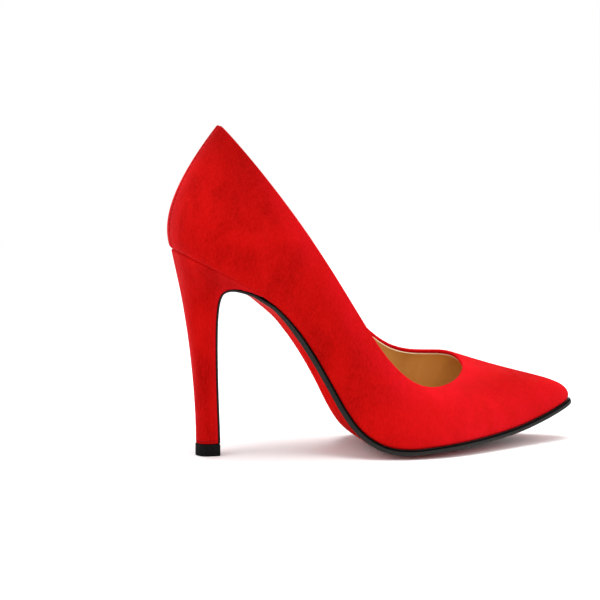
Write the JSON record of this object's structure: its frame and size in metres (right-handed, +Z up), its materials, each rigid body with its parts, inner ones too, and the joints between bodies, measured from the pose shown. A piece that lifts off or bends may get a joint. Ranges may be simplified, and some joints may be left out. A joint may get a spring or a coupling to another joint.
{
  "type": "high heel pump",
  "caption": "Pointed-toe slip-on court shoe with a tall slim stiletto heel, low topline, thin sole and a replaceable rubber heel tip.",
  "frame": {"origin": "centre of the heel tip's bottom face, on the ground", "axes": "+X to the toe, +Y to the inner (medial) side of the right foot, +Z up"},
  "size_m": [0.2216, 0.0793, 0.1718],
  "materials": {
    "suede_red": "suede",
    "backer_cloth": "matte",
    "tape_white": "matte",
    "stiffener": "matte",
    "lining_tan": "smooth",
    "thread_red": "matte",
    "board": "matte",
    "steel": "satin",
    "filler": "matte",
    "foam": "matte",
    "sole_leather": "glossy red face with a black edge",
    "tread_rubber": "matte",
    "heel_plastic": "matte",
    "top_rubber": "matte"
  },
  "bodies": {
    "shoe": {"vamp_and_lateral_quarter": "suede_red", "medial_quarter": "suede_red", "upper_backer": "backer_cloth", "topline_tape": "tape_white", "heel_counter": "stiffener", "toe_puff": "stiffener", "back_seam_tape": "tape_white", "side_seam_tape": "tape_white", "vamp_lining": "lining_tan", "quarter_lining": "lining_tan", "seam_stitches": "thread_red", "insole_board": "board", "steel_shank": "steel", "shank_rivets": "steel", "bottom_filler": "filler", "insock_foam": "foam", "insock": "lining_tan", "outsole": "sole_leather", "tread_pad": "tread_rubber", "heel_core": "heel_plastic", "heel_cover": "suede_red", "heel_pin_tube": "steel", "heel_screw": "steel", "heel_nails": "steel"},
    "top_piece": {"top_piece": "top_rubber", "top_piece_pin": "steel"}
  },
  "joints": [
    {"name": "top_piece_slide", "type": "slide", "parent": "shoe", "child": "top_piece", "axis": [0, 0, -1], "range_m": [0, 0.0185]}
  ]
}
